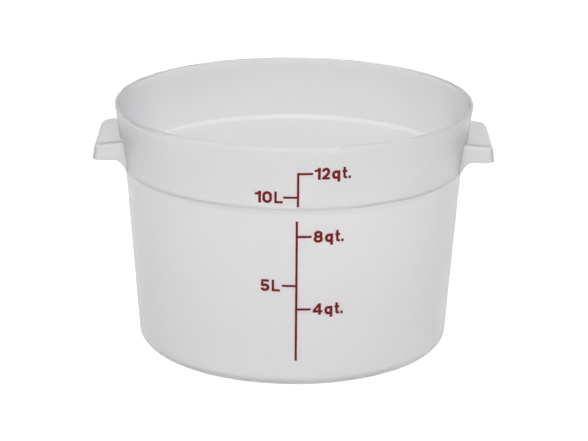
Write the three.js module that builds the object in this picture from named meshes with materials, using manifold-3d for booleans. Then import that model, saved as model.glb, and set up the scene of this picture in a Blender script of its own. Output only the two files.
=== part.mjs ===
// Round food storage container: a moulded tub with two ear handles and a printed volume scale.
// Millimetres, +Z up. The origin is the centre of the underside, where the tub stands.
// The handles lie on +X and -X, and the scale is printed on the -Y side.

import * as THREE from 'three';
import { mergeVertices } from 'three/addons/utils/BufferGeometryUtils.js';
import Module from 'manifold-3d';

const wasm = await Module();
wasm.setup();

// Tub
const HEIGHT = 212.5;
const RIM_RADIUS = 154; // outside of the rim bead
const SHOULDER_RADIUS = 144.6; // outside of the lower wall where it meets the shoulder
const BASE_RADIUS = 134; // outside of the lower wall, carried down to the table
const COLLAR_HEIGHT = 51.9; // from the shoulder's upper edge to the top of the rim
const SHOULDER_RISE = 4.7; // height of the sloping step
const SHOULDER_STEP = 1; // how far the step stands out
const BEAD_HEIGHT = 5.2;
const BEAD_PROUD = 0.8; // how far the bead stands out of the collar
const WALL = 2.6;
const FLOOR = 3;
const FOOT_FILLET = 10; // outside radius between wall and underside

// Handles
const HANDLE_DROP = 29.5; // from the top of the rim down to the handle's top
const HANDLE_LENGTH = 82.4; // along Y, at the top
const HANDLE_PROJECTION = 19.7; // from the collar out to the handle's edge, at the top, on X
const HANDLE_DEPTH = 14.7; // from the top down to the skirt's lower edge
const HANDLE_WALL = 2.4; // skirt
const HANDLE_PLATE = 2.6; // top plate
const HANDLE_CORNER = 9; // plan radius of the outer corners
const HANDLE_EDGE = 3.5; // rounding between top plate and skirt
const HANDLE_FLARE = THREE.MathUtils.degToRad(7); // the skirt leans outwards on its way down
const WEB_SIZE = 7.4; // fillet web under each end of the handle
const HANDLE_SEAT = 0.3; // clearance between the handles and the tub's wall

// Printed scale: the ticks' places count from the shoulder, up from its upper edge or down from its lower one
const INK_THICKNESS = 0.3;
const INK_SEAT = 0.1; // clearance between the ink and the wall
const LINE_WIDTH = 1.6;
const UPPER_LINE_OFFSET = 4.4; // round the wall, from the middle of the front towards +X
const LOWER_LINE_OFFSET = 3.7;
const TICK_LENGTH = 12; // from the middle of the line
const LABEL_GAP = 1.5; // from a tick to its label
const UPPER_LINE_RISE = 0.5; // from the shoulder up to the line's foot
const TEN_LITRE_RISE = 8.4;
const TWELVE_QUART_RISE = 29.1;
const LOWER_LINE_DROP = 8.1; // from the shoulder down to the line's top
const EIGHT_QUART_DROP = 21.6;
const FIVE_LITRE_DROP = 64.9;
const FOUR_QUART_DROP = 85.8;
const LOWER_LINE_FOOT = 24.4; // above the table

// Figures and letters
const FIGURE_HEIGHT = 10;
const FIGURE_WIDTH = 6.6;
const LETTER_HEIGHT = 7.4; // of the q's bowl and the t's bar
const LETTER_WIDTH = 6.6;
const NARROW_WIDTH = 4.1; // of the 1 and the t
const STROKE = 1.9;
const THIN_STROKE = 1.7; // of sloping and level strokes
const FIGURE_GAP = 1.5;
const FLAG_DROP = 2.6; // of the 1, below its top
const CROSSBAR_HEIGHT = 2; // of the 4
const CROSSBAR_END = 1; // of the 4, past its stem
const BACK_LEAN = 0.35; // of the 5, from its belly to its roof
const WAIST_HEIGHT = 5.2; // of the 8
const UPPER_BOWL_INSET = 0.4; // of the 8, on each side
const TAIL_DEPTH = 2.8; // of the q, below the base line
const T_STEM = 1.2; // left of the t's stem
const T_HEIGHT = 9.3;
const HOOK_START = THREE.MathUtils.degToRad(165); // of the 2
const HOOK_END = THREE.MathUtils.degToRad(-38);
const BELLY_START = THREE.MathUtils.degToRad(150); // of the 5
const BELLY_END = THREE.MathUtils.degToRad(-145);

// Fineness of the round surfaces
const ROUND_STEPS = 96; // round the tub
const ARC_STEPS = 6; // in each fillet and corner
const BEAD_STEPS = 3; // in the small fillet under the bead
const TICK_STEPS = 6; // along each tick, so that it follows the wall
const FIGURE_STEPS = 28; // round each bowl of a figure
const SMALLEST_CORNER = 0.5; // plan radius that a corner keeps when it is moved in
const MERGE_DISTANCE = 1e-4; // between points that count as one

const shoulderTop = HEIGHT - COLLAR_HEIGHT;
const shoulderBottom = shoulderTop - SHOULDER_RISE;
const collarFootRadius = SHOULDER_RADIUS + SHOULDER_STEP;
const collarTop = HEIGHT - BEAD_HEIGHT;
const collarTopRadius = RIM_RADIUS - BEAD_PROUD;

const POLYPROPYLENE = { color: 0xdfdfe0, roughness: 0.38, metalness: 0 };
const MAROON_INK = { color: 0x64202a, roughness: 0.55, metalness: 0 };

const container = new THREE.Group();

function addPiece(name, geometry, look) {
  const mesh = new THREE.Mesh(geometry, new THREE.MeshStandardMaterial(look));
  mesh.name = name;
  container.add(mesh);
}

// Shared vertices only, without the flat slivers that a lathe leaves on its axis
function closedSurface(geometry) {
  const bare = geometry.clone();
  bare.deleteAttribute('normal');
  bare.deleteAttribute('uv');
  const merged = mergeVertices(bare, MERGE_DISTANCE);
  const corners = merged.index.array;
  const kept = [];
  for (let i = 0; i < corners.length; i += 3) {
    const [a, b, c] = corners.slice(i, i + 3);
    if (a !== b && b !== c && c !== a) kept.push(a, b, c);
  }
  merged.setIndex(kept);
  return merged;
}

function toSolid(geometry) {
  const surface = closedSurface(geometry);
  return new wasm.Manifold(new wasm.Mesh({
    numProp: 3,
    vertProperties: new Float32Array(surface.attributes.position.array),
    triVerts: new Uint32Array(surface.index.array),
  }));
}

function toGeometry(solid) {
  const mesh = solid.getMesh();
  const geometry = new THREE.BufferGeometry();
  geometry.setAttribute('position', new THREE.BufferAttribute(mesh.vertProperties, 3));
  geometry.setIndex(new THREE.BufferAttribute(mesh.triVerts, 1));
  return geometry;
}

// Points [across, up] on an arc, from one angle to another
function arc(across, up, radius, from, to, steps = ARC_STEPS) {
  const points = [];
  for (let i = 0; i <= steps; i += 1) {
    const angle = from + ((to - from) * i) / steps;
    points.push([across + radius * Math.cos(angle), up + radius * Math.sin(angle)]);
  }
  return points;
}

// Solid of revolution about Z from a profile of [radius, height] points that starts and ends on the axis
function revolve(profile) {
  const points = profile.map(([radius, height]) => new THREE.Vector2(radius, height));
  const geometry = new THREE.LatheGeometry(points, ROUND_STEPS);
  geometry.rotateX(Math.PI / 2);
  return closedSurface(geometry);
}

// Tub

const lowerTaper = Math.atan2(SHOULDER_RADIUS - BASE_RADIUS, shoulderBottom);

// Fillet between a level floor and the lower wall, both moved in by the same distance as the profile
function footFillet(floorHeight, inset, radius) {
  const wallAtCentre = BASE_RADIUS - inset + Math.tan(lowerTaper) * (floorHeight + radius);
  const centre = wallAtCentre - radius / Math.cos(lowerTaper);
  return arc(centre, floorHeight + radius, radius, -Math.PI / 2, -lowerTaper);
}

// Corners of the outside from the shoulder up to the bead, pushed out by a clearance for what seats on it
function outerWall(clearance = 0) {
  return [
    [SHOULDER_RADIUS + clearance, shoulderBottom],
    [collarFootRadius + clearance, shoulderTop],
    [collarTopRadius + clearance, collarTop],
  ];
}

function tubProfile() {
  const lipRadius = (WALL + BEAD_PROUD) / 2;
  const lipCentre = RIM_RADIUS - lipRadius;
  const outside = [[0, 0], ...footFillet(0, 0, FOOT_FILLET), ...outerWall()];
  const bead = [
    ...arc(collarTopRadius, collarTop + BEAD_PROUD, BEAD_PROUD, -Math.PI / 2, 0, BEAD_STEPS).slice(1),
    ...arc(lipCentre, HEIGHT - lipRadius, lipRadius, 0, Math.PI),
  ];
  const inside = [
    [collarFootRadius - WALL, shoulderTop],
    [SHOULDER_RADIUS - WALL, shoulderBottom],
    ...footFillet(FLOOR, WALL, FOOT_FILLET - WALL).reverse(),
    [0, FLOOR],
  ];
  return [...outside, ...bead, ...inside];
}

// Outside radius of the wall at a height
function wallRadius(height) {
  const corners = [[BASE_RADIUS, 0], ...outerWall()];
  const upper = Math.max(1, corners.findIndex(([, level]) => level >= height));
  const [r0, z0] = corners[upper - 1];
  const [r1, z1] = corners[upper];
  return r0 + ((r1 - r0) * (height - z0)) / (z1 - z0);
}

addPiece('tub', revolve(tubProfile()), POLYPROPYLENE);

// Handles

const handleTop = HEIGHT - HANDLE_DROP;
const handleBottom = handleTop - HANDLE_DEPTH;
const handleReach = wallRadius(handleTop) + HANDLE_PROJECTION;
const handleRoot = wallRadius(handleBottom) / 2; // well inside the tub, where the seat cuts it off

// Plan outline of the handle, moved in from its skirt by an inset, counter-clockwise
function handlePlan(inset) {
  const side = HANDLE_LENGTH / 2 - inset;
  const front = handleReach - inset;
  const corner = Math.max(HANDLE_CORNER - inset, SMALLEST_CORNER);
  return [
    [handleRoot, -side],
    ...arc(front - corner, -side + corner, corner, -Math.PI / 2, 0),
    ...arc(front - corner, side - corner, corner, 0, Math.PI / 2),
    [handleRoot, side],
  ];
}

// Closed solid through convex outlines of [inset, height], from the lowest to the highest
function loftHandle(levels) {
  const rings = levels.map(([inset, height]) => handlePlan(inset).map(([x, y]) => [x, y, height]));
  const count = rings[0].length;
  const index = [];
  for (let level = 0; level < rings.length - 1; level += 1) {
    for (let i = 0; i < count; i += 1) {
      const next = (i + 1) % count;
      const [a, b] = [level * count + i, level * count + next];
      const [c, d] = [b + count, a + count];
      index.push(a, b, c, a, c, d);
    }
  }
  const last = (rings.length - 1) * count;
  for (let i = 1; i < count - 1; i += 1) {
    index.push(0, i + 1, i);
    index.push(last, last + i, last + i + 1);
  }
  const geometry = new THREE.BufferGeometry();
  geometry.setAttribute('position', new THREE.Float32BufferAttribute(rings.flat(2), 3));
  geometry.setIndex(index);
  return geometry;
}

const flareAt = (height) => (handleTop - height) * Math.tan(HANDLE_FLARE);

function handleBlock() {
  const edgeCentre = handleTop - HANDLE_EDGE;
  const rounding = arc(0, edgeCentre, HANDLE_EDGE, 0, Math.PI / 2);
  const edge = rounding.map(([run, height]) => [HANDLE_EDGE - run - flareAt(edgeCentre), height]);
  return toSolid(loftHandle([[-flareAt(handleBottom), handleBottom], ...edge]));
}

function handleHollow() {
  const ceiling = handleTop - HANDLE_PLATE;
  const mouth = handleBottom - WEB_SIZE - HANDLE_WALL;
  return toSolid(loftHandle([
    [HANDLE_WALL - flareAt(mouth), mouth],
    [HANDLE_WALL - flareAt(ceiling), ceiling],
  ]));
}

// Web that carries an end of the skirt down to the wall in a hollow curve
function endWeb(side) {
  const outer = HANDLE_LENGTH / 2 + flareAt(handleBottom);
  const wallX = Math.sqrt(wallRadius(handleBottom) ** 2 - outer ** 2);
  const toe = wallX + WEB_SIZE;
  const foot = handleBottom - WEB_SIZE;
  const hollow = arc(toe, foot, WEB_SIZE, Math.PI / 2, Math.PI);
  const top = handleBottom + HANDLE_EDGE; // inside the skirt, so that the two join
  const outline = [[handleRoot, top], [toe, top], ...hollow, [handleRoot, foot]];
  const shape = new THREE.Shape(outline.map(([x, z]) => new THREE.Vector2(x, z)));
  const geometry = new THREE.ExtrudeGeometry(shape, { depth: HANDLE_WALL, bevelEnabled: false });
  geometry.rotateX(Math.PI / 2);
  geometry.translate(0, side > 0 ? outer : HANDLE_WALL - outer, 0);
  return toSolid(geometry);
}

function handleGeometry() {
  const seat = [[BASE_RADIUS + HANDLE_SEAT, 0], ...outerWall(HANDLE_SEAT)];
  const core = toSolid(revolve([[0, 0], ...seat, [0, collarTop]]));
  const skirt = handleBlock().subtract(handleHollow());
  return toGeometry(skirt.add(endWeb(1)).add(endWeb(-1)).subtract(core));
}

const rightHandle = handleGeometry();
addPiece('right_handle', rightHandle, POLYPROPYLENE);
addPiece('left_handle', rightHandle.clone().rotateZ(Math.PI), POLYPROPYLENE);

// Printed scale

// Extruded flat shape, bent round the wall: x runs round it, y is the height, z stands out of it
function printOnWall(geometry, middle, height) {
  const bent = geometry.clone();
  const place = bent.attributes.position;
  const radiusThere = wallRadius(height);
  for (let i = 0; i < place.count; i += 1) {
    const z = height + place.getY(i);
    const angle = (middle + place.getX(i)) / radiusThere;
    const radius = wallRadius(z) + INK_SEAT + place.getZ(i);
    place.setXYZ(i, radius * Math.sin(angle), -radius * Math.cos(angle), z);
  }
  return closedSurface(bent);
}

function inkShape(outline, hole) {
  const shape = new THREE.Shape(outline.map(([x, y]) => new THREE.Vector2(x, y)));
  if (hole) shape.holes.push(new THREE.Path(hole.map(([x, y]) => new THREE.Vector2(x, y))));
  return new THREE.ExtrudeGeometry(shape, { depth: INK_THICKNESS, bevelEnabled: false });
}

// Upright line with ticks to its right (side 1) or left (side -1), its heights counted from its foot
function scaleShape(length, ticks) {
  const halfLine = LINE_WIDTH / 2;
  const edge = (side) => {
    const points = [];
    for (const tick of ticks.filter((entry) => entry.side === side)) {
      const top = Math.min(tick.rise + halfLine, length);
      const reach = (i) => side * (halfLine + ((TICK_LENGTH - halfLine) * i) / TICK_STEPS);
      for (let i = 0; i <= TICK_STEPS; i += 1) points.push([reach(i), tick.rise - halfLine]);
      for (let i = TICK_STEPS; i >= 0; i -= 1) points.push([reach(i), top]);
    }
    return points;
  };
  const right = [[halfLine, 0], ...edge(1), [halfLine, length]];
  const left = [[-halfLine, 0], ...edge(-1), [-halfLine, length]];
  const outline = [...right, ...left.reverse()];
  const repeated = ([x, y], i) => i > 0 && x === outline[i - 1][0] && y === outline[i - 1][1];
  return inkShape(outline.filter((point, i) => !repeated(point, i)));
}

const upperFoot = shoulderTop + UPPER_LINE_RISE;
const twelveQuart = shoulderTop + TWELVE_QUART_RISE;
const tenLitre = shoulderTop + TEN_LITRE_RISE;
const upperScale = scaleShape(twelveQuart + LINE_WIDTH / 2 - upperFoot, [
  { side: 1, rise: twelveQuart - upperFoot },
  { side: -1, rise: tenLitre - upperFoot },
]);
const eightQuart = shoulderBottom - EIGHT_QUART_DROP;
const fiveLitre = shoulderBottom - FIVE_LITRE_DROP;
const fourQuart = shoulderBottom - FOUR_QUART_DROP;
const lowerScale = scaleShape(shoulderBottom - LOWER_LINE_DROP - LOWER_LINE_FOOT, [
  { side: 1, rise: fourQuart - LOWER_LINE_FOOT },
  { side: 1, rise: eightQuart - LOWER_LINE_FOOT },
  { side: -1, rise: fiveLitre - LOWER_LINE_FOOT },
]);
addPiece('scale_upper', printOnWall(upperScale, UPPER_LINE_OFFSET, upperFoot), MAROON_INK);
addPiece('scale_lower', printOnWall(lowerScale, LOWER_LINE_OFFSET, LOWER_LINE_FOOT), MAROON_INK);

// Figures and letters, drawn as strokes

// Band of the stroke's width along a line of points
function band(points, width = STROKE) {
  const left = [];
  const right = [];
  points.forEach(([x, y], i) => {
    const [x0, y0] = points[Math.max(i - 1, 0)];
    const [x1, y1] = points[Math.min(i + 1, points.length - 1)];
    const before = new THREE.Vector2(x - x0, y - y0).normalize();
    const after = new THREE.Vector2(x1 - x, y1 - y).normalize();
    const along = before.clone().add(after).normalize();
    const straight = before.lengthSq() > 0 ? before : after;
    const reach = width / 2 / along.dot(straight);
    left.push([x - along.y * reach, y + along.x * reach]);
    right.push([x + along.y * reach, y - along.x * reach]);
  });
  return inkShape([...right, ...left.reverse()]);
}

function ellipse(across, up, halfWidth, halfHeight) {
  const points = [];
  for (let i = 0; i < FIGURE_STEPS; i += 1) {
    const angle = (2 * Math.PI * i) / FIGURE_STEPS;
    points.push([across + halfWidth * Math.cos(angle), up + halfHeight * Math.sin(angle)]);
  }
  return points;
}

// Closed oval band that just fills a box
function bowl(left, foot, width, height) {
  const [across, up] = [left + width / 2, foot + height / 2];
  const outside = ellipse(across, up, width / 2, height / 2);
  const inside = ellipse(across, up, width / 2 - STROKE, height / 2 - STROKE);
  return inkShape(outside, inside);
}

const bar = (left, foot, width, height) => inkShape([
  [left, foot], [left + width, foot], [left + width, foot + height], [left, foot + height],
]);

function join(...geometries) {
  const [first, ...others] = geometries.map(toSolid);
  return toGeometry(others.reduce((whole, next) => whole.add(next), first));
}

const halfStroke = STROKE / 2;
const halfThin = THIN_STROKE / 2;

function one() {
  const flagFoot = [0, FIGURE_HEIGHT - FLAG_DROP];
  const flagTop = [NARROW_WIDTH - halfStroke, FIGURE_HEIGHT - halfStroke];
  return join(bar(NARROW_WIDTH - STROKE, 0, STROKE, FIGURE_HEIGHT), band([flagFoot, flagTop], THIN_STROKE));
}

function two() {
  const radius = (FIGURE_WIDTH - STROKE) / 2;
  const top = FIGURE_HEIGHT - halfStroke - radius;
  const hook = arc(FIGURE_WIDTH / 2, top, radius, HOOK_START, HOOK_END, FIGURE_STEPS / 2);
  const slopeEnd = [THIN_STROKE, halfStroke];
  return join(band([...hook, slopeEnd]), bar(0, 0, FIGURE_WIDTH, THIN_STROKE));
}

function four() {
  const stem = FIGURE_WIDTH - CROSSBAR_END - STROKE;
  const slope = [[halfThin, CROSSBAR_HEIGHT + halfThin], [stem + halfStroke, FIGURE_HEIGHT - halfStroke]];
  const crossbar = bar(0, CROSSBAR_HEIGHT, FIGURE_WIDTH, THIN_STROKE);
  return join(bar(stem, 0, STROKE, FIGURE_HEIGHT), crossbar, band(slope, THIN_STROKE));
}

function five() {
  const radius = (FIGURE_WIDTH - STROKE) / 2;
  const bellyHeight = halfStroke + radius;
  const belly = arc(FIGURE_WIDTH / 2, bellyHeight, radius, BELLY_START, BELLY_END, FIGURE_STEPS / 2);
  const backTop = [halfStroke + BACK_LEAN, FIGURE_HEIGHT - halfStroke];
  const back = band([[halfStroke, bellyHeight + halfStroke], backTop], THIN_STROKE);
  const roof = bar(BACK_LEAN, FIGURE_HEIGHT - STROKE, FIGURE_WIDTH - 2 * BACK_LEAN, STROKE);
  return join(band(belly), back, roof);
}

function eight() {
  const waist = WAIST_HEIGHT - halfStroke;
  const lower = bowl(0, 0, FIGURE_WIDTH, WAIST_HEIGHT + halfStroke);
  const upperWidth = FIGURE_WIDTH - 2 * UPPER_BOWL_INSET;
  return join(lower, bowl(UPPER_BOWL_INSET, waist, upperWidth, FIGURE_HEIGHT - waist));
}

const zero = () => bowl(0, 0, FIGURE_WIDTH, FIGURE_HEIGHT);

const letterL = () => join(bar(0, 0, STROKE, FIGURE_HEIGHT), bar(0, 0, FIGURE_WIDTH, STROKE));

const letterQ = () => join(
  bowl(0, 0, LETTER_WIDTH, LETTER_HEIGHT),
  bar(LETTER_WIDTH - STROKE, -TAIL_DEPTH, STROKE, TAIL_DEPTH + LETTER_HEIGHT),
);

const letterT = () => join(
  bar(T_STEM, 0, STROKE, T_HEIGHT),
  bar(T_STEM, 0, NARROW_WIDTH - T_STEM, THIN_STROKE),
  bar(0, LETTER_HEIGHT - THIN_STROKE, NARROW_WIDTH, THIN_STROKE),
);

const point = () => bar(0, 0, STROKE, STROKE);

const GLYPHS = {
  1: { draw: one, width: NARROW_WIDTH },
  2: { draw: two, width: FIGURE_WIDTH },
  4: { draw: four, width: FIGURE_WIDTH },
  5: { draw: five, width: FIGURE_WIDTH },
  8: { draw: eight, width: FIGURE_WIDTH },
  0: { draw: zero, width: FIGURE_WIDTH },
  L: { draw: letterL, width: FIGURE_WIDTH },
  q: { draw: letterQ, width: LETTER_WIDTH },
  t: { draw: letterT, width: NARROW_WIDTH },
  point: { draw: point, width: STROKE },
};

// Label beside its tick, centred on the tick's height: to its right (side 1) or to its left (side -1)
function addLabel(name, signs, side, line, height) {
  const length = signs.reduce((sum, sign) => sum + GLYPHS[sign].width, FIGURE_GAP * (signs.length - 1));
  const near = TICK_LENGTH + LABEL_GAP;
  let across = line + (side > 0 ? near : -near - length);
  for (const sign of signs) {
    const { draw, width } = GLYPHS[sign];
    addPiece(`${name}_${sign}`, printOnWall(draw(), across, height - FIGURE_HEIGHT / 2), MAROON_INK);
    across += width + FIGURE_GAP;
  }
}

addLabel('mark_12qt', ['1', '2', 'q', 't', 'point'], 1, UPPER_LINE_OFFSET, twelveQuart);
addLabel('mark_10L', ['1', '0', 'L'], -1, UPPER_LINE_OFFSET, tenLitre);
addLabel('mark_8qt', ['8', 'q', 't', 'point'], 1, LOWER_LINE_OFFSET, eightQuart);
addLabel('mark_5L', ['5', 'L'], -1, LOWER_LINE_OFFSET, fiveLitre);
addLabel('mark_4qt', ['4', 'q', 't', 'point'], 1, LOWER_LINE_OFFSET, fourQuart);

export default container;
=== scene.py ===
# %% [markdown]
# # A round food storage container
# The real object is an open tub of milky polypropylene with a hollow ear handle on each side and a volume
# scale printed on its front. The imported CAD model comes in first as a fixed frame. It gives the overall size
# and the places, in metres, and it is never moved or changed: new pieces take over from its nodes one by one.

# %% Load the frame
import math

import bmesh
import bpy
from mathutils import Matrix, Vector


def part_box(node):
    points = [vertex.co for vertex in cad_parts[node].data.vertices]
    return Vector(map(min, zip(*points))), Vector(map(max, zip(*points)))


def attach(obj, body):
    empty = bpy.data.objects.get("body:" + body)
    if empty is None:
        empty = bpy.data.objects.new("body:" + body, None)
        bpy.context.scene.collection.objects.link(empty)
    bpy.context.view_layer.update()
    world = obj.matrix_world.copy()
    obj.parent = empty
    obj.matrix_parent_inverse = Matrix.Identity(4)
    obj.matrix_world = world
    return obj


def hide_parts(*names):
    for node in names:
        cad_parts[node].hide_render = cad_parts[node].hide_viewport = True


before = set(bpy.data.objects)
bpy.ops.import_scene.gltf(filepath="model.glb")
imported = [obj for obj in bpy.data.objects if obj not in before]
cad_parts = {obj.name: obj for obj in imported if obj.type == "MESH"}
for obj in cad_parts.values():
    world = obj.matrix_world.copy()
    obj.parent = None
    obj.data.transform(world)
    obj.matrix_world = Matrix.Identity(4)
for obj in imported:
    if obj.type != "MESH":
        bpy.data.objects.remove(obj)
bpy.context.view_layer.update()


# %% [markdown]
# ## Working by operators
# Modelling by hand means adding a primitive, going into edit mode, selecting and shaping. The helpers here do
# the same from a script. Operators act on everything that is selected, and the frame arrives selected, so
# each piece starts with nothing selected. Points, edges and faces are then picked by place or direction.

# %% Helpers for edit mode
MM = 0.001
TOUCH = 0.01 * MM  # two places closer than this are the same


def start_fresh():
    bpy.ops.object.select_all(action="DESELECT")


def activate(piece):
    """Selects one piece alone, so that operators act on it."""
    start_fresh()
    piece.select_set(True)
    bpy.context.view_layer.objects.active = piece


def edit(piece):
    activate(piece)
    bpy.ops.object.mode_set(mode="EDIT")


def leave_edit():
    bpy.ops.object.mode_set(mode="OBJECT")


def select_all():
    bpy.ops.mesh.select_all(action="SELECT")


def select(piece, kind, chosen):
    """Selects the elements of a kind ("VERT", "EDGE" or "FACE") that pass a test, and nothing else."""
    bpy.ops.mesh.select_mode(type=kind)
    bpy.ops.mesh.select_all(action="DESELECT")
    shape = bmesh.from_edit_mesh(piece.data)
    elements = {"VERT": shape.verts, "EDGE": shape.edges, "FACE": shape.faces}[kind]
    for element in elements:
        if chosen(element):
            element.select_set(True)
    bmesh.update_edit_mesh(piece.data)


def apply_modifier(piece, kind, **settings):
    """Adds a modifier, sets it up and applies it."""
    activate(piece)
    modifier = piece.modifiers.new(kind.title(), kind)
    for setting, value in settings.items():
        setattr(modifier, setting, value)
    bpy.ops.object.modifier_apply(modifier=modifier.name)


def combine(piece, other, operation):
    """Joins another solid to a piece or cuts it away, and deletes the other solid."""
    apply_modifier(piece, "BOOLEAN", object=other, operation=operation, solver="EXACT")
    bpy.data.objects.remove(other, do_unlink=True)


def count_triangles(piece):
    return sum(len(face.vertices) - 2 for face in piece.data.polygons)


# %% [markdown]
# ## A line drawn point by point
# Sections and flat outlines start as one point, which is extruded from corner to corner. A corner is then
# rounded with a vertex bevel. Its offset is a length along the two edges, so the radius is turned into that
# length with the tangent of half the angle by which the line turns there.

# %% Draw a line and round its corners
ROUND_SEGMENTS = 8


def draw_line(name, corners):
    """Line through corners in the XZ plane, each given as (x, z, rounding radius), left in edit mode."""
    start_fresh()
    bpy.ops.mesh.primitive_plane_add(size=1)
    piece = bpy.context.object
    piece.name = name
    places = [Vector((x, 0, z)) for x, z, _ in corners]
    bpy.ops.object.mode_set(mode="EDIT")
    bpy.ops.mesh.select_mode(type="VERT")
    select_all()
    bpy.ops.mesh.merge(type="CENTER")
    bpy.ops.transform.translate(value=places[0])
    for before, after in zip(places, places[1:]):
        bpy.ops.mesh.extrude_vertices_move(TRANSFORM_OT_translate={"value": after - before})
    for before, place, after, (_, _, radius) in zip(places, places[1:], places[2:], corners[1:]):
        if radius > 0:
            turn = (place - before).angle(after - place)
            reach = radius * math.tan(turn / 2)
            select(piece, "VERT", lambda vert: (vert.co - place).length < TOUCH)
            bpy.ops.mesh.bevel(offset=reach, segments=ROUND_SEGMENTS, affect="VERTICES")
    return piece


# %% [markdown]
# ## The tub
# The tub is one injection moulding: a flat floor, a rounded foot, a slightly tapered wall, a small shoulder
# step, a flared collar and a shallow round bead at the rim. It could be built up ring by ring from a circle,
# but a turned form is quicker and truer as a section that is spun: the section shows the wall's thickness,
# just as a mould drawing does.

# %% Measures of the tub
_, tub_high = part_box("tub")
HEIGHT = tub_high.z
RIM_RADIUS = tub_high.x
SHOULDER_RADIUS = 145 * MM
BASE_RADIUS = 134 * MM
COLLAR_HEIGHT = 54.4 * MM
SHOULDER_RISE = 4 * MM
SHOULDER_STEP = 1.8 * MM
BEAD_HEIGHT = 5.2 * MM
BEAD_PROUD = 0.8 * MM
BEAD_TILT = math.radians(30)  # of its sides, where it leaves the collar and the lip
COLLAR_WALL = 2 * MM
SHOULDER_WALL = 2.2 * MM
FOOT_WALL = 2.8 * MM
FLOOR = 3 * MM
FOOT_ROUND = 10 * MM
SHOULDER_BLEND = 8 * MM
COLLAR_FOOT_ROUND = 2 * MM
LEDGE_UP = 2.1 * MM  # of the ledge inside, above the top of the shoulder outside
LEDGE_DROP = 3.05 * MM
LEDGE_ROUND = 1.2 * MM
LIP_OUTER_ROUND = 0.5 * MM
LIP_INNER_ROUND = 1.2 * MM
BEAD_FOOT_ROUND = 0.3 * MM

shoulder_top = HEIGHT - COLLAR_HEIGHT
shoulder_bottom = shoulder_top - SHOULDER_RISE
collar_foot_radius = SHOULDER_RADIUS + SHOULDER_STEP
collar_top = HEIGHT - BEAD_HEIGHT
collar_top_radius = RIM_RADIUS - BEAD_PROUD
bead_middle = (collar_top + HEIGHT) / 2
bead_corner = BEAD_HEIGHT / 2 * math.tan(BEAD_TILT)  # out from the collar, before it is rounded
bead_round = (bead_corner - BEAD_PROUD) / (1 / math.cos(BEAD_TILT) - 1)
lip_radius = collar_top_radius - COLLAR_WALL
ledge_top = shoulder_top + LEDGE_UP
ledge_bottom = ledge_top - LEDGE_DROP
collar_inside = collar_foot_radius - COLLAR_WALL
lower_inside = SHOULDER_RADIUS - SHOULDER_WALL
lower_taper = (SHOULDER_RADIUS - BASE_RADIUS) / shoulder_bottom

# %% Section of the tub
outside = [
    (0, 0, 0),
    (BASE_RADIUS, 0, FOOT_ROUND),
    (SHOULDER_RADIUS, shoulder_bottom, SHOULDER_BLEND),
    (collar_foot_radius, shoulder_top, COLLAR_FOOT_ROUND),
    (collar_top_radius, collar_top, BEAD_FOOT_ROUND),
    (collar_top_radius + bead_corner, bead_middle, bead_round),
    (collar_top_radius, HEIGHT, LIP_OUTER_ROUND),
]
inside = [
    (lip_radius, HEIGHT, LIP_INNER_ROUND),
    (collar_inside, ledge_top, LEDGE_ROUND),
    (lower_inside, ledge_bottom, LEDGE_ROUND),
    (BASE_RADIUS - FOOT_WALL + lower_taper * FLOOR, FLOOR, FOOT_ROUND - FOOT_WALL),
    (0, FLOOR, 0),
]
tub = draw_line("tub_moulding", outside + inside)
print("section points:", len(bmesh.from_edit_mesh(tub.data).verts))

# %% Spin the section
SPIN_STEPS = 192
SMOOTH_ANGLE = math.radians(30)
select_all()
bpy.ops.mesh.spin(steps=SPIN_STEPS, angle=2 * math.pi, center=(0, 0, 0), axis=(0, 0, 1))
select_all()
bpy.ops.mesh.remove_doubles(threshold=TOUCH)
bpy.ops.mesh.normals_make_consistent(inside=False)
leave_edit()
bpy.ops.object.shade_smooth_by_angle(angle=SMOOTH_ANGLE)
print("tub triangles:", count_triangles(tub))


# %% Radius of the outside wall at a height
def wall_radius(height):
    if height < shoulder_bottom:
        return BASE_RADIUS + lower_taper * height
    if height < shoulder_top:
        return SHOULDER_RADIUS + SHOULDER_STEP * (height - shoulder_bottom) / SHOULDER_RISE
    flare = (collar_top_radius - collar_foot_radius) / (collar_top - shoulder_top)
    return collar_foot_radius + flare * (height - shoulder_top)


# %% [markdown]
# ## The ear handles
# Each handle is a hollow ear, open below, that the fingers curl into. It starts as a cube whose lower edges
# are drawn out for the mould's draft and whose top is tilted down towards the tip. The upright corners are
# bevelled, the faces that are open on the real one are deleted, the top edges are rounded, and Solidify gives
# the shell its wall. A small web carries each end down the collar.

# %% Measures of a handle
_, handle_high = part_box("right_handle")
HANDLE_DROP = 28.7 * MM
HANDLE_LENGTH = 84.4 * MM
HANDLE_DEPTH = 14.7 * MM
HANDLE_WALL = 2.4 * MM
HANDLE_CORNER = 7.5 * MM
HANDLE_EDGE = 4 * MM
HANDLE_SLOPE = math.radians(6.5)  # of the top, down towards the tip
HANDLE_DRAFT = math.radians(7)  # of the sides, so that the mould lets go
HANDLE_FLARE = math.tan(HANDLE_DRAFT) * HANDLE_DEPTH
HANDLE_SUNK = 0.6 * MM  # into the wall, so that no slit shows between the two
ROOT = 120 * MM  # well inside the collar, where the handle is cut off later

handle_top = HEIGHT - HANDLE_DROP
handle_bottom = handle_top - HANDLE_DEPTH
handle_reach = handle_high.x - HANDLE_FLARE
mid_height = (handle_top + handle_bottom) / 2
mid_reach = (ROOT + handle_reach) / 2
tip_drop = math.tan(HANDLE_SLOPE) * (handle_reach - wall_radius(handle_top)) / 2
root_rise = math.tan(HANDLE_SLOPE) * (handle_reach - ROOT) - tip_drop

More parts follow.
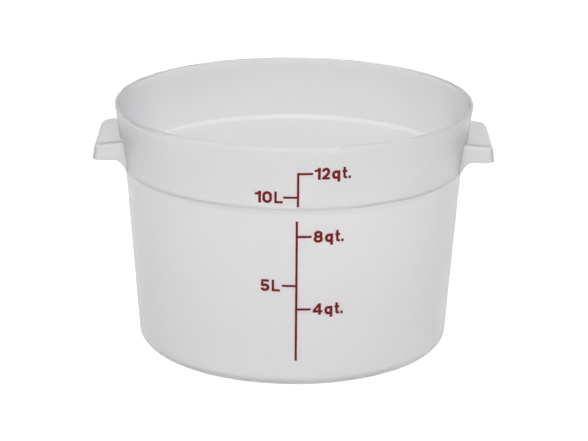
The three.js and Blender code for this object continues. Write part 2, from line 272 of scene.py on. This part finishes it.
# %% Block of the handle, with draft and a sloping top
start_fresh()
bpy.ops.mesh.primitive_cube_add(
    size=1,
    location=(mid_reach, 0, mid_height),
    scale=(handle_reach - ROOT, HANDLE_LENGTH, HANDLE_DEPTH),
)
handle = bpy.context.object
handle.name = "right_ear"
bpy.ops.object.transform_apply(location=True, rotation=True, scale=True)
edit(handle)
select(handle, "VERT", lambda vert: vert.co.z < mid_height and vert.co.x > mid_reach)
bpy.ops.transform.translate(value=(HANDLE_FLARE, 0, 0))
for side in (1, -1):
    select(handle, "VERT", lambda vert: vert.co.z < mid_height and vert.co.y * side > 0)
    bpy.ops.transform.translate(value=(0, side * HANDLE_FLARE, 0))
select(handle, "VERT", lambda vert: vert.co.z > mid_height and vert.co.x > mid_reach)
bpy.ops.transform.translate(value=(0, 0, -tip_drop))
select(handle, "VERT", lambda vert: vert.co.z > mid_height and vert.co.x < mid_reach)
bpy.ops.transform.translate(value=(0, 0, root_rise))

# %% Shell of the handle
OPEN_FACING = 0.9  # a face is open on the real one if its normal points more than this far down or inward
select(handle, "EDGE", lambda edge: all(vert.co.x > mid_reach for vert in edge.verts)
       and abs(edge.verts[0].co.z - edge.verts[1].co.z) > TOUCH)
bpy.ops.mesh.bevel(offset=HANDLE_CORNER, segments=ROUND_SEGMENTS)
select(handle, "FACE", lambda face: face.normal.z < -OPEN_FACING or face.normal.x < -OPEN_FACING)
bpy.ops.mesh.delete(type="FACE")
select(handle, "EDGE", lambda edge: not edge.is_boundary
       and all(vert.co.z > mid_height for vert in edge.verts))
bpy.ops.mesh.bevel(offset=HANDLE_EDGE, segments=ROUND_SEGMENTS)
leave_edit()
apply_modifier(handle, "SOLIDIFY", thickness=HANDLE_WALL, offset=-1, use_even_offset=True)
print("handle shell faces:", len(handle.data.polygons))

# %% Ease the handle's lower rim
RIM_EASE = 0.7 * MM
RIM_SEGMENTS = 3
RIM_ANGLE = math.radians(60)  # the edges of the lower rim turn by more than this
rim_top = handle_bottom + HANDLE_WALL / 2
edit(handle)
select(handle, "EDGE", lambda edge: all(vert.co.z < rim_top for vert in edge.verts)
       and abs(edge.calc_face_angle(0)) > RIM_ANGLE)
bpy.ops.mesh.bevel(offset=RIM_EASE, segments=RIM_SEGMENTS)
leave_edit()
print("handle faces with an eased rim:", len(handle.data.polygons))

# %% Webs under the handle's ends
WEB_SIZE = 8 * MM
WEB_SUNK = 2.4 * MM  # into the handle's end
WEB_STRETCH = 1.25  # the web runs further down than out
WEB_THROAT = 3 * MM  # left in the corner, so that the slanting edge is only slightly hollow
WEB_ROUND = 12 * MM
handle_end = HANDLE_LENGTH / 2 + HANDLE_FLARE
wall_x = math.sqrt(wall_radius(handle_bottom) ** 2 - handle_end ** 2)
web_corners = [
    (ROOT, handle_bottom + WEB_SUNK, 0),
    (wall_x + WEB_SIZE, handle_bottom + WEB_SUNK, 0),
    (wall_x + WEB_SIZE, handle_bottom, 0),
    (wall_x + WEB_THROAT, handle_bottom - WEB_THROAT, WEB_ROUND),
    (wall_x, handle_bottom - WEB_SIZE, 0),
    (ROOT, handle_bottom - WEB_SIZE, 0),
]
for side in (1, -1):
    web = draw_line("web", web_corners)
    select_all()
    bpy.ops.mesh.edge_face_add()
    bpy.ops.transform.resize(value=(1, 1, WEB_STRETCH), center_override=(0, 0, handle_bottom))
    bpy.ops.transform.translate(value=(0, side * handle_end, 0))
    bpy.ops.mesh.extrude_region_move(TRANSFORM_OT_translate={"value": (0, -side * HANDLE_WALL, 0)})
    select_all()
    bpy.ops.mesh.normals_make_consistent(inside=False)
    leave_edit()
    combine(handle, web, "UNION")
print("handle faces with webs:", len(handle.data.polygons))

# %% Cut the handle to the collar
CUT_MARGIN = 20 * MM  # of the cutting cone, above and below the handle
cut_low = handle_bottom - CUT_MARGIN
cut_high = handle_top + CUT_MARGIN
slope = (wall_radius(cut_high) - wall_radius(handle_top)) / CUT_MARGIN
foot_radius = wall_radius(handle_top) - slope * (handle_top - cut_low)
start_fresh()
bpy.ops.mesh.primitive_cone_add(
    vertices=SPIN_STEPS,
    radius1=foot_radius - HANDLE_SUNK,
    radius2=wall_radius(cut_high) - HANDLE_SUNK,
    depth=cut_high - cut_low,
    location=(0, 0, (cut_high + cut_low) / 2),
    rotation=(0, 0, math.pi / SPIN_STEPS),
)
core = bpy.context.object
bpy.ops.object.transform_apply(location=True, rotation=True, scale=True)
combine(handle, core, "DIFFERENCE")
bpy.ops.object.shade_smooth_by_angle(angle=SMOOTH_ANGLE)
apply_modifier(handle, "WEIGHTED_NORMAL", keep_sharp=True)
print("right handle triangles:", count_triangles(handle))

# %% Left handle, the same ear turned half round
left_handle = handle.copy()
left_handle.data = handle.data.copy()
left_handle.name = "left_ear"
bpy.context.collection.objects.link(left_handle)
activate(left_handle)
left_handle.rotation_euler.z = math.pi
bpy.ops.object.transform_apply(location=True, rotation=True, scale=True)
print("left handle triangles:", count_triangles(left_handle))

# %% [markdown]
# ## The printed scale
# The volume scale is screen printed: a film of ink with strokes of nearly one width. A font would be quick,
# but the one that comes with Blender has other shapes, so each sign is drawn with strokes. A stroke is a
# line along its middle that is extruded to a strip and made as wide as the stroke with Solidify. A union
# joins the strokes of a sign, only the flat front is kept, Shrinkwrap lays it on the wall and a last
# Solidify gives the film its thickness.

# %% Strokes
STROKE = 2.3 * MM
THIN_STROKE = 2 * MM
STRIP = 1 * MM


def face_outward(piece):
    """Turns all faces of a piece the same way: outward where it is closed."""
    edit(piece)
    select_all()
    bpy.ops.mesh.normals_make_consistent(inside=False)
    leave_edit()


def add_stroke(corners, width):
    """Flat bar of a width along a line; a line that ends where it starts becomes a ring."""
    bar = draw_line("stroke", corners)
    bpy.ops.mesh.select_mode(type="EDGE")
    select_all()
    bpy.ops.mesh.remove_doubles(threshold=TOUCH)
    bpy.ops.mesh.extrude_edges_move(TRANSFORM_OT_translate={"value": (0, STRIP, 0)})
    leave_edit()
    face_outward(bar)
    apply_modifier(bar, "SOLIDIFY", thickness=width, offset=0, use_even_offset=True)
    face_outward(bar)
    return bar


def ring(left, low, right, high, rounding):
    """Corners of a closed line with rounded corners, from the middle of its foot."""
    centre = (left + right) / 2
    return [
        (centre, low, 0),
        (right, low, rounding),
        (right, high, rounding),
        (left, high, rounding),
        (left, low, rounding),
        (centre, low, 0),
    ]


# %% [markdown]
# ## Signs
# Each sign is a list of strokes, each a line and its width, in a box of the sign's own width that stands on
# the base line. The lines run along the middle of the strokes, so bends stay half a stroke inside the box.

# %% Measures of the signs
FIGURE_HEIGHT = 10.3 * MM
LETTER_HEIGHT = 7.5 * MM
TAIL = 2.4 * MM
T_HEIGHT = 10.2 * MM
FLAT = 0.1 * MM  # left straight beside a rounding, so that the stroke doesn't fold there
half = STROKE / 2
half_thin = THIN_STROKE / 2
print("figures:", FIGURE_HEIGHT / MM, "mm tall, letters:", LETTER_HEIGHT / MM, "mm")


# %% Figures with straight strokes
def draw_one(width):
    flag_drop = 2.7 * MM
    flag_rise = 0.6 * MM
    flag_bend = 0.8 * MM  # to the left of the stem's middle
    flag_round = 1.2 * MM
    tip_inset = 0.4 * MM
    stem_x = width - half
    flag_foot = FIGURE_HEIGHT - flag_drop
    stem = [(stem_x, 0, 0), (stem_x, FIGURE_HEIGHT, 0)]
    flag = [
        (0, flag_foot, 0),
        (stem_x - flag_bend, flag_foot + flag_rise, flag_round),
        (stem_x, FIGURE_HEIGHT - tip_inset, 0),
    ]
    return [(stem, STROKE), (flag, THIN_STROKE)]


def draw_four(width):
    overhang = 2.3 * MM  # of the bar, past the middle of the stem
    bar_height = 3.1 * MM
    slant_in = 0.6 * MM
    slant_up = 0.3 * MM
    apex_in = 0.2 * MM
    apex_drop = 0.45 * MM
    stem_x = width - overhang
    stem = [(stem_x, 0, 0), (stem_x, FIGURE_HEIGHT, 0)]
    bar = [(0, bar_height, 0), (width, bar_height, 0)]
    slant = [(slant_in, bar_height + slant_up, 0), (stem_x - apex_in, FIGURE_HEIGHT - apex_drop, 0)]
    return [(stem, STROKE), (bar, THIN_STROKE), (slant, THIN_STROKE)]


# %% Figures with bent strokes
def draw_two(width):
    hook_drop = 3.5 * MM
    neck_round = 2 * MM
    bend = width / 2 - half - FLAT
    top = FIGURE_HEIGHT - half
    right = width - half
    curve = [
        (half, FIGURE_HEIGHT - hook_drop, 0),
        (half, top, bend),
        (right, top, bend),
        (right, FIGURE_HEIGHT / 2, neck_round),
        (half, half, 0),
    ]
    foot = [(0, half_thin, 0), (width, half_thin, 0)]
    return [(curve, STROKE), (foot, THIN_STROKE)]


def draw_five(width):
    flag_inset = 0.5 * MM
    back_top_x = 1.5 * MM
    back_foot_x = 1.1 * MM
    back_foot = 4.3 * MM
    bowl_start = 4.6 * MM
    bowl_bend_x = 2.2 * MM
    bowl_top = 5.5 * MM
    start_round = 1.4 * MM
    bowl_round = 2.1 * MM
    hook_round = 1.7 * MM
    hook_top = 2.95 * MM
    top = FIGURE_HEIGHT - half_thin
    right = width - half
    flag = [(back_top_x - half_thin, top, 0), (width - flag_inset, top, 0)]
    back = [(back_top_x, FIGURE_HEIGHT, 0), (back_foot_x, back_foot, 0)]
    bowl = [
        (back_foot_x, bowl_start, 0),
        (bowl_bend_x, bowl_top, start_round),
        (right, bowl_top, bowl_round),
        (right, half, bowl_round),
        (half, half, hook_round),
        (half, hook_top, 0),
    ]
    return [(flag, THIN_STROKE), (back, THIN_STROKE), (bowl, STROKE)]


def draw_eight(width):
    waist = 5.3 * MM
    inset = 0.35 * MM  # of the upper ring, which is the smaller one
    top = FIGURE_HEIGHT - half
    lower_round = (waist - half) / 2 - FLAT
    upper_round = (top - waist) / 2 - FLAT
    lower = ring(half, half, width - half, waist, lower_round)
    upper = ring(half + inset, waist, width - half - inset, top, upper_round)
    return [(lower, STROKE), (upper, STROKE)]


def draw_zero(width):
    bend = width / 2 - half - FLAT
    return [(ring(half, half, width - half, FIGURE_HEIGHT - half, bend), STROKE)]


# %% Letters and the full stop
def draw_q(width):
    bend = width / 2 - half - FLAT
    right = width - half
    bowl = ring(half, half, right, LETTER_HEIGHT - half, bend)
    stem = [(right, -TAIL, 0), (right, LETTER_HEIGHT, 0)]
    return [(bowl, STROKE), (stem, STROKE)]


def draw_t(width):
    stem_x = 1.7 * MM
    foot_round = 1.2 * MM
    bar_height = LETTER_HEIGHT - half_thin
    stem = [(stem_x, T_HEIGHT, 0), (stem_x, half_thin, foot_round), (width, half_thin, 0)]
    bar = [(0, bar_height, 0), (width, bar_height, 0)]
    return [(stem, THIN_STROKE), (bar, THIN_STROKE)]


def draw_capital_l(width):
    return [([(half, FIGURE_HEIGHT, 0), (half, half_thin, 0), (width, half_thin, 0)], THIN_STROKE)]


def draw_point(width):
    return [([(0, half, 0), (width, half, 0)], STROKE)]


# %% Drawing function and width of each sign
SIGNS = {
    "1": (draw_one, 5 * MM),
    "2": (draw_two, 6.4 * MM),
    "4": (draw_four, 7.8 * MM),
    "5": (draw_five, 7.2 * MM),
    "8": (draw_eight, 7.5 * MM),
    "0": (draw_zero, 7.8 * MM),
    "q": (draw_q, 6.6 * MM),
    "t": (draw_t, 3.9 * MM),
    "L": (draw_capital_l, 7 * MM),
    "point": (draw_point, 2 * MM),
}
print("signs:", len(SIGNS))

# %% Lay flat strokes on the wall
PRINT_STAND = 200 * MM  # in front of the tub, where the strokes are before they are laid on
INK_LIFT = 0.05 * MM
INK_FILM = 0.08 * MM
FRONT_FACING = 0.5  # a face belongs to the sign's front if its normal points at least this far forward


def print_on_wall(name, strokes, across, height):
    """Unites strokes to one sign, keeps its front and lays it on the tub at a place across and a height."""
    sign, *others = [add_stroke(corners, width) for corners, width in strokes]
    for other in others:
        combine(sign, other, "UNION")
    sign.name = name
    edit(sign)
    select(sign, "FACE", lambda face: face.normal.y > -FRONT_FACING)
    bpy.ops.mesh.delete(type="FACE")
    select_all()
    bpy.ops.mesh.remove_doubles(threshold=TOUCH)
    bpy.ops.mesh.dissolve_degenerate(threshold=TOUCH)
    select_all()
    bpy.ops.transform.translate(value=(across, -PRINT_STAND, height))
    leave_edit()
    apply_modifier(
        sign, "SHRINKWRAP", target=tub, wrap_method="PROJECT", use_project_y=True,
        use_positive_direction=True, use_negative_direction=False, offset=INK_LIFT,
    )
    apply_modifier(sign, "SOLIDIFY", thickness=INK_FILM, offset=1)
    return sign


# %% Scale lines with their ticks
LINE_WIDTH = 1.9 * MM
TICK_LENGTH = 12 * MM
TICK_STEPS = 4  # along each tick, so that it bends with the wall
UPPER_LINE = 3.8 * MM  # to the right of the middle
LOWER_LINE = 3.1 * MM
UPPER_FOOT = 161.2 * MM
LOWER_FOOT = 24.6 * MM
LOWER_TOP = 148.3 * MM
tick_heights = {
    "12qt": 190.1 * MM,
    "10L": 169.5 * MM,
    "8qt": 134.8 * MM,
    "5L": 91.7 * MM,
    "4qt": 70.8 * MM,
}


def scale_strokes(foot, top, ticks):
    """A vertical line from foot to top, and a tick for each (height, side)."""
    strokes = [([(0, foot, 0), (0, top, 0)], LINE_WIDTH)]
    for height, side in ticks:
        steps = [side * TICK_LENGTH * step / TICK_STEPS for step in range(TICK_STEPS + 1)]
        strokes.append(([(reach, height, 0) for reach in steps], LINE_WIDTH))
    return strokes


upper_ticks = [(tick_heights["12qt"], 1), (tick_heights["10L"], -1)]
lower_ticks = [(tick_heights["8qt"], 1), (tick_heights["5L"], -1), (tick_heights["4qt"], 1)]
upper_top = tick_heights["12qt"] + LINE_WIDTH / 2
upper_strokes = scale_strokes(UPPER_FOOT, upper_top, upper_ticks)
lower_strokes = scale_strokes(LOWER_FOOT, LOWER_TOP, lower_ticks)
prints = {
    "scale_upper": print_on_wall("upper_line", upper_strokes, UPPER_LINE, 0),
    "scale_lower": print_on_wall("lower_line", lower_strokes, LOWER_LINE, 0),
}
print("scale lines:", [count_triangles(line) for line in prints.values()], "triangles")

# %% Figures and letters of each label
GAP = 1.7 * MM
CLOSE_GAP = 1 * MM  # after the narrow signs
NARROW_SIGNS = ("1", "t")
UPPER_RIGHT = 13.1 * MM  # from the scale line to where a label starts
UPPER_LEFT = 34.7 * MM
LOWER_RIGHT = 13.7 * MM
LOWER_LEFT = 29.2 * MM
labels = {
    "12qt": (("1", "2", "q", "t", "point"), UPPER_LINE + UPPER_RIGHT),
    "10L": (("1", "0", "L"), UPPER_LINE - UPPER_LEFT),
    "8qt": (("8", "q", "t", "point"), LOWER_LINE + LOWER_RIGHT),
    "5L": (("5", "L"), LOWER_LINE - LOWER_LEFT),
    "4qt": (("4", "q", "t", "point"), LOWER_LINE + LOWER_RIGHT),
}
for label, (signs, across) in labels.items():
    base = tick_heights[label] - FIGURE_HEIGHT / 2
    for sign in signs:
        draw, width = SIGNS[sign]
        prints[f"mark_{label}_{sign}"] = print_on_wall(f"ink_{label}_{sign}", draw(width), across, base)
        across += width + (CLOSE_GAP if sign in NARROW_SIGNS else GAP)
print("printed pieces:", len(prints), "triangles:", sum(count_triangles(ink) for ink in prints.values()))

# %% [markdown]
# ## Materials
# Colours are written as sRGB hex values, as a colour picker shows them, and one function makes them linear.
# Small functions add a node, a noise or a colour ramp and link it, so that a material reads as a short list.

# %% Colour and node helpers
def linear(code):
    """Linear RGBA of an sRGB hex colour, by the curve of the sRGB standard."""
    channels = [int(code[i:i + 2], 16) / 255 for i in (1, 3, 5)]
    return [c / 12.92 if c <= 0.04045 else ((c + 0.055) / 1.055) ** 2.4 for c in channels] + [1]


def new_material(name):
    material = bpy.data.materials.new(name)
    material.use_nodes = True
    material.node_tree.nodes.clear()
    return material, material.node_tree


def add_node(tree, kind, values=None, links=None, **settings):
    """Adds a node: settings are its properties, values its input values, links what feeds its inputs."""
    node = tree.nodes.new(kind)
    for setting, value in settings.items():
        setattr(node, setting, value)
    for socket, value in (values or {}).items():
        node.inputs[socket].default_value = value
    for socket, source in (links or {}).items():
        tree.links.new(source, node.inputs[socket])
    return node


def add_noise(tree, place, size, detail, roughness):
    """Noise in Object coordinates, with spots of about a size."""
    return add_node(
        tree, "ShaderNodeTexNoise",
        values={"Scale": 1 / size, "Detail": detail, "Roughness": roughness},
        links={"Vector": place.outputs["Object"]},
    )


def add_ramp(tree, source, positions, colours):
    """Colour ramp between two colours at two positions."""
    ramp = add_node(tree, "ShaderNodeValToRGB", links={"Fac": source})
    for element, position, colour in zip(ramp.color_ramp.elements, positions, colours):
        element.position = position
        element.color = linear(colour)
    return ramp


# %% [markdown]
# ## Milky polypropylene
# The tub is natural polypropylene, cloudy under a smooth skin. Glass would be too clear for it and white
# plastic too dense: most of the light goes through and is spread on its way, and the rest scatters inside and
# comes back milky, so the shader mixes rough transmission with subsurface. The tub isn't equally clear all
# over: it is milkiest in the lower wall and clearer at the corner of the foot and towards the rim, so the
# share of light that goes through follows the height. Outside the mould left a satin, inside a polish, and
# the ears are as smooth as the inside, so one function makes all three. The outside is tinted a little warm
# and the inside and the lip a little cool. That is painted light: the warm light in front and the cool light
# from behind and above, not a difference in the plastic.

# %% Measures of the plastic
CLOUD_SIZE = 60 * MM
CLOUD_DETAIL = 2
CLOUD_ROUGHNESS = 0.5
CLOUD_RANGE = (0.35, 0.65)
GRAIN_SIZE = 0.8 * MM
GRAIN_DETAIL = 3
GRAIN_ROUGHNESS = 0.6
GRAIN_RANGE = (0.3, 0.7)
SKIN_STRENGTH = 0.05
SKIN_HEIGHT = 0.05 * MM
PLASTIC_IOR = 1.49
SCATTER = 4 * MM
CLEAR_FOOT = 0.82  # this and the other CLEAR values are shares of light that goes through
CLEAR_LOW = 0.66
CLEAR_HIGH = 0.9
CLEAR_EAR = 0.79
CLEAR_BEAD = 0.86
BEAD_BLEND = 1 * MM
SATIN = (0.3, 0.36)  # least and greatest roughness
POLISH = (0.28, 0.32)
print("light through the wall:", CLEAR_LOW, "to", CLEAR_HIGH)


# %% Milky polypropylene, injection moulded
def milky_plastic(name, tones, roughness, clear_wall, clear_foot):
    """Plastic of two tones and a range of roughness that lets through a share of light at wall and foot."""
    material, tree = new_material(name)
    place = add_node(tree, "ShaderNodeTexCoord")
    cloud = add_noise(tree, place, CLOUD_SIZE, CLOUD_DETAIL, CLOUD_ROUGHNESS)
    tone = add_ramp(tree, cloud.outputs["Fac"], CLOUD_RANGE, tones)
    grain = add_noise(tree, place, GRAIN_SIZE, GRAIN_DETAIL, GRAIN_ROUGHNESS)
    least, greatest = roughness
    gloss = add_node(
        tree, "ShaderNodeMapRange",
        values={"From Min": GRAIN_RANGE[0], "From Max": GRAIN_RANGE[1], "To Min": least, "To Max": greatest},
        links={"Value": grain.outputs["Fac"]},
    )
    skin = add_node(
        tree, "ShaderNodeBump",
        values={"Strength": SKIN_STRENGTH, "Distance": SKIN_HEIGHT},
        links={"Height": grain.outputs["Fac"]},
    )
    axes = add_node(tree, "ShaderNodeSeparateXYZ", links={"Vector": place.outputs["Object"]})
    foot = add_node(
        tree, "ShaderNodeMapRange",
        values={"From Max": FOOT_ROUND, "To Min": clear_foot, "To Max": clear_wall},
        links={"Value": axes.outputs["Z"]},
    )
    wall = add_node(
        tree, "ShaderNodeMapRange",
        values={"From Min": shoulder_bottom, "From Max": collar_top, "To Max": CLEAR_HIGH},
        links={"Value": axes.outputs["Z"], "To Min": foot.outputs["Result"]},
    )
    clear = add_node(
        tree, "ShaderNodeMapRange",
        values={"From Min": collar_top, "From Max": collar_top + BEAD_BLEND, "To Max": CLEAR_BEAD},
        links={"Value": axes.outputs["Z"], "To Min": wall.outputs["Result"]},
    )
    shader = add_node(
        tree, "ShaderNodeBsdfPrincipled",
        values={
            "IOR": PLASTIC_IOR,
            "Subsurface Weight": 1,
            "Subsurface Radius": (1, 1, 1),
            "Subsurface Scale": SCATTER,
        },
        links={
            "Base Color": tone.outputs["Color"],
            "Roughness": gloss.outputs["Result"],
            "Transmission Weight": clear.outputs["Result"],
            "Normal": skin.outputs["Normal"],
        },
    )
    add_node(tree, "ShaderNodeOutputMaterial", links={"Surface": shader.outputs["BSDF"]})
    return material


# Painted light: the outside's tones are warmed for the warm light in front, and the tones of the inside and
# the lip are cooled for the cool light from behind and above. The plastic is the same.
painted_warm_light_tones = ("#FCF8F6", "#FFFBF9")
painted_cool_light_tones = ("#F4F8FE", "#F7FBFF")
ear_tones = ("#F8F9FA", "#FBFCFD")
satin = milky_plastic("milky_polypropylene_satin_painted_warm_light", painted_warm_light_tones, SATIN, CLEAR_LOW, CLEAR_FOOT)
polished = milky_plastic("milky_polypropylene_polished_painted_cool_light", painted_cool_light_tones, POLISH, CLEAR_LOW, CLEAR_FOOT)
smooth = milky_plastic("milky_polypropylene_ear", ear_tones, POLISH, CLEAR_EAR, CLEAR_EAR)
print("plastics:", satin.name, polished.name, smooth.name)

# %% Satin and painted warm light outside, polish and painted cool light inside
UP_FACING = 0.5  # a face counts as inside or lip if its normal points more than this far up
for piece, plastic in ((tub, satin), (handle, smooth), (left_handle, smooth)):
    piece.data.materials.clear()
    piece.data.materials.append(plastic)
tub.data.materials.append(polished)
inner_faces = 0
for face in tub.data.polygons:
    outward = face.normal.dot(Vector((face.center.x, face.center.y, 0)))
    if outward < 0 or face.normal.z > UP_FACING:
        face.material_index = 1
        inner_faces += 1
print("polished faces:", inner_faces, "of", len(tub.data.polygons))

# %% [markdown]
# ## Maroon ink
# Screen printed ink is a thin, even, nearly matt layer. One flat colour would look like a sticker, so a faint
# mottle shows where the mesh of the screen let through more ink or less. A real mottle is finer than a pixel
# of the picture, so it is drawn a little coarser.

# %% Maroon ink, screen printed
MOTTLE_SIZE = 1.5 * MM
MOTTLE_DETAIL = 2
MOTTLE_ROUGHNESS = 0.5
MOTTLE_RANGE = (0.3, 0.7)
INK_TONES = ("#680C12", "#741319")
INK_ROUGHNESS = 0.5
INK_IOR = 1.5
INK_SPECULAR = 0.2
maroon_ink, tree = new_material("maroon_screen_print_ink")
place = add_node(tree, "ShaderNodeTexCoord")
mottle = add_noise(tree, place, MOTTLE_SIZE, MOTTLE_DETAIL, MOTTLE_ROUGHNESS)
tone = add_ramp(tree, mottle.outputs["Fac"], MOTTLE_RANGE, INK_TONES)
shader = add_node(
    tree, "ShaderNodeBsdfPrincipled",
    values={"Roughness": INK_ROUGHNESS, "IOR": INK_IOR, "Specular IOR Level": INK_SPECULAR},
    links={"Base Color": tone.outputs["Color"]},
)
add_node(tree, "ShaderNodeOutputMaterial", links={"Surface": shader.outputs["BSDF"]})
for ink in prints.values():
    ink.data.materials.clear()
    ink.data.materials.append(maroon_ink)
print("inked pieces:", len(prints))

# %% [markdown]
# ## Pieces and their nodes
# Each new piece stands for one CAD node: the node is hidden, and the piece is carried by the node's body.
# Nothing on this tub moves, so there is one body only.

# %% Each piece takes over its node and rides on the one body
mouldings = {"tub": tub, "right_handle": handle, "left_handle": left_handle}
for node, piece in mouldings.items():
    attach(piece, "root")
    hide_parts(node)
for node, ink in prints.items():
    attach(ink, "root")
    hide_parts(node)
print("pieces:", len(mouldings) + len(prints))

# %% [markdown]
# ## Studio
# The photograph has a white ground with hardly any shadow. A brighter lamp would clip the tub, so the floor
# glows only for rays that come straight from the camera, that the plastic mirrors or that went through it.
# Rays that spread from a surface don't see the glow, so the floor keeps the tub's shadow. What is seen
# through the plastic fades with distance, as the far floor of a studio does.

# %% Floor
FLOOR_SIZE = 12
FLOOR_TONE = "#8A8A8A"
start_fresh()
bpy.ops.mesh.primitive_plane_add(size=FLOOR_SIZE)
floor = bpy.context.object
floor.name = "studio_floor"
paper, tree = new_material("white_paper_ground")
surface = add_node(tree, "ShaderNodeBsdfDiffuse", values={"Color": linear(FLOOR_TONE)})
floor.data.materials.append(paper)
print("floor:", FLOOR_SIZE, "m")

# %% Glow of the floor
FLOOR_GLOW = 0.92
GLOW_THROUGH = 0.55
GLOW_FAR = 0.25
GLOW_MIRRORED = 0.9
FADE_START = 0.2
FADE_END = 0.65
path = add_node(tree, "ShaderNodeLightPath")
mirrored = add_node(
    tree, "ShaderNodeMath", operation="SUBTRACT", use_clamp=True,
    links={0: path.outputs["Is Glossy Ray"], 1: path.outputs["Is Transmission Ray"]},
)
place = add_node(tree, "ShaderNodeTexCoord")
away = add_node(tree, "ShaderNodeVectorMath", operation="LENGTH", links={0: place.outputs["Object"]})
fade = add_node(
    tree, "ShaderNodeMapRange",
    values={"From Min": FADE_START, "From Max": FADE_END, "To Min": GLOW_THROUGH, "To Max": GLOW_FAR},
    links={"Value": away.outputs["Value"]},
)
through = add_node(
    tree, "ShaderNodeMath", operation="MULTIPLY",
    links={0: path.outputs["Is Transmission Ray"], 1: fade.outputs["Result"]},
)
in_plastic = add_node(
    tree, "ShaderNodeMath", operation="MULTIPLY_ADD", values={1: GLOW_MIRRORED},
    links={0: mirrored.outputs["Value"], 2: through.outputs["Value"]},
)
glow_strength = add_node(
    tree, "ShaderNodeMath", operation="MULTIPLY_ADD", values={1: FLOOR_GLOW},
    links={0: path.outputs["Is Camera Ray"], 2: in_plastic.outputs["Value"]},
)
glow = add_node(tree, "ShaderNodeEmission", links={"Strength": glow_strength.outputs["Value"]})
both = add_node(tree, "ShaderNodeAddShader", links={0: surface.outputs["BSDF"], 1: glow.outputs["Emission"]})
add_node(tree, "ShaderNodeOutputMaterial", links={"Surface": both.outputs["Shader"]})
print("glow:", FLOOR_GLOW)

# %% [markdown]
# ## Light
# Soft light comes from all round, a little brighter and warmer in front of the tub, and the world stays white
# to look at. One softbox in front and above adds a soft highlight. Three lamps would be usual, but a milky
# plastic loses its depth when it is lit hard from many sides.

# %% World: white to look at, brighter in front to light with
LIGHT_LOW = 1.08
LIGHT_HIGH = 1.5
BRIGHT_SIDE = (0, -0.96, 0.28)  # unit vector towards the front, a little up
ROOM_TONES = ("#F3F6FC", "#FFFAF6")  # behind the tub and in front of it
WHITE = "#FFFFFF"
world = bpy.data.worlds.new("white_studio")
bpy.context.scene.world = world
world.use_nodes = True
tree = world.node_tree
tree.nodes.clear()
path = add_node(tree, "ShaderNodeLightPath")
direction = add_node(tree, "ShaderNodeTexCoord")
toward = add_node(
    tree, "ShaderNodeVectorMath", operation="DOT_PRODUCT", values={1: BRIGHT_SIDE},
    links={0: direction.outputs["Generated"]},
)
level = add_node(
    tree, "ShaderNodeMapRange",
    values={"From Min": -1, "From Max": 1, "To Min": LIGHT_LOW, "To Max": LIGHT_HIGH},
    links={"Value": toward.outputs["Value"]},
)
share = add_node(
    tree, "ShaderNodeMapRange",
    values={"From Min": -1, "From Max": 1},
    links={"Value": toward.outputs["Value"]},
)
tint = add_ramp(tree, share.outputs["Result"], (0, 1), ROOM_TONES)
room = add_node(
    tree, "ShaderNodeBackground",
    links={"Color": tint.outputs["Color"], "Strength": level.outputs["Result"]},
)
white = add_node(tree, "ShaderNodeBackground", values={"Color": linear(WHITE), "Strength": 1})
choice = add_node(
    tree, "ShaderNodeMixShader",
    links={0: path.outputs["Is Camera Ray"], 1: room.outputs["Background"], 2: white.outputs["Background"]},
)
add_node(tree, "ShaderNodeOutputWorld", links={"Surface": choice.outputs["Shader"]})
print("room light:", LIGHT_LOW, "to", LIGHT_HIGH)


# %% Softbox above and in front
def turn_to(place, aim):
    """Rotation of a lamp or camera that looks from a place to an aim."""
    return (aim - place).to_track_quat("-Z", "Y").to_euler()


SOFTBOX_PLACE = Vector((0, -1.8, 1.6))
SOFTBOX_AIM = Vector((0, 0, 0.1))
SOFTBOX_SIZE = 0.8
SOFTBOX_WATTS = 12
start_fresh()
bpy.ops.object.light_add(type="AREA", location=SOFTBOX_PLACE)
softbox = bpy.context.object
softbox.name = "front_softbox"
softbox.data.shape = "DISK"
softbox.data.size = SOFTBOX_SIZE
softbox.data.energy = SOFTBOX_WATTS
softbox.rotation_euler = turn_to(SOFTBOX_PLACE, SOFTBOX_AIM)
print("softbox:", SOFTBOX_WATTS, "W")

# %% [markdown]
# ## Camera
# The photograph looks down at the front from about 17.6 degrees with a long lens. These values come from
# fitting the rim, the shoulder and the foot to the photographed outline, in a picture of 588 by 441 pixels.

# %% Camera at the photograph's place
SENSOR_WIDTH = 36
PICTURE_WIDTH = 588
FOCAL_PIXELS = 2290
CAMERA_ELEVATION = math.radians(17.57)
CAMERA_DISTANCE = 2.0
CAMERA_ROLL = math.radians(0.48)
AIM_DOWN = 3.1 * MM
AIM_RIGHT = 0.8 * MM
middle_height = HEIGHT / 2
camera_place = Vector((
    0,
    -CAMERA_DISTANCE * math.cos(CAMERA_ELEVATION),
    middle_height + CAMERA_DISTANCE * math.sin(CAMERA_ELEVATION),
))
aim = Vector((AIM_RIGHT, 0, middle_height - AIM_DOWN))
start_fresh()
bpy.ops.object.camera_add(location=camera_place)
camera = bpy.context.object
camera.data.sensor_width = SENSOR_WIDTH
camera.data.lens = FOCAL_PIXELS * SENSOR_WIDTH / PICTURE_WIDTH
camera.rotation_euler = turn_to(camera_place, aim)
camera.rotation_euler.rotate_axis("Z", CAMERA_ROLL)
bpy.context.scene.camera = camera
bpy.context.scene.view_settings.view_transform = "Standard"
print("lens:", round(camera.data.lens, 1), "mm")
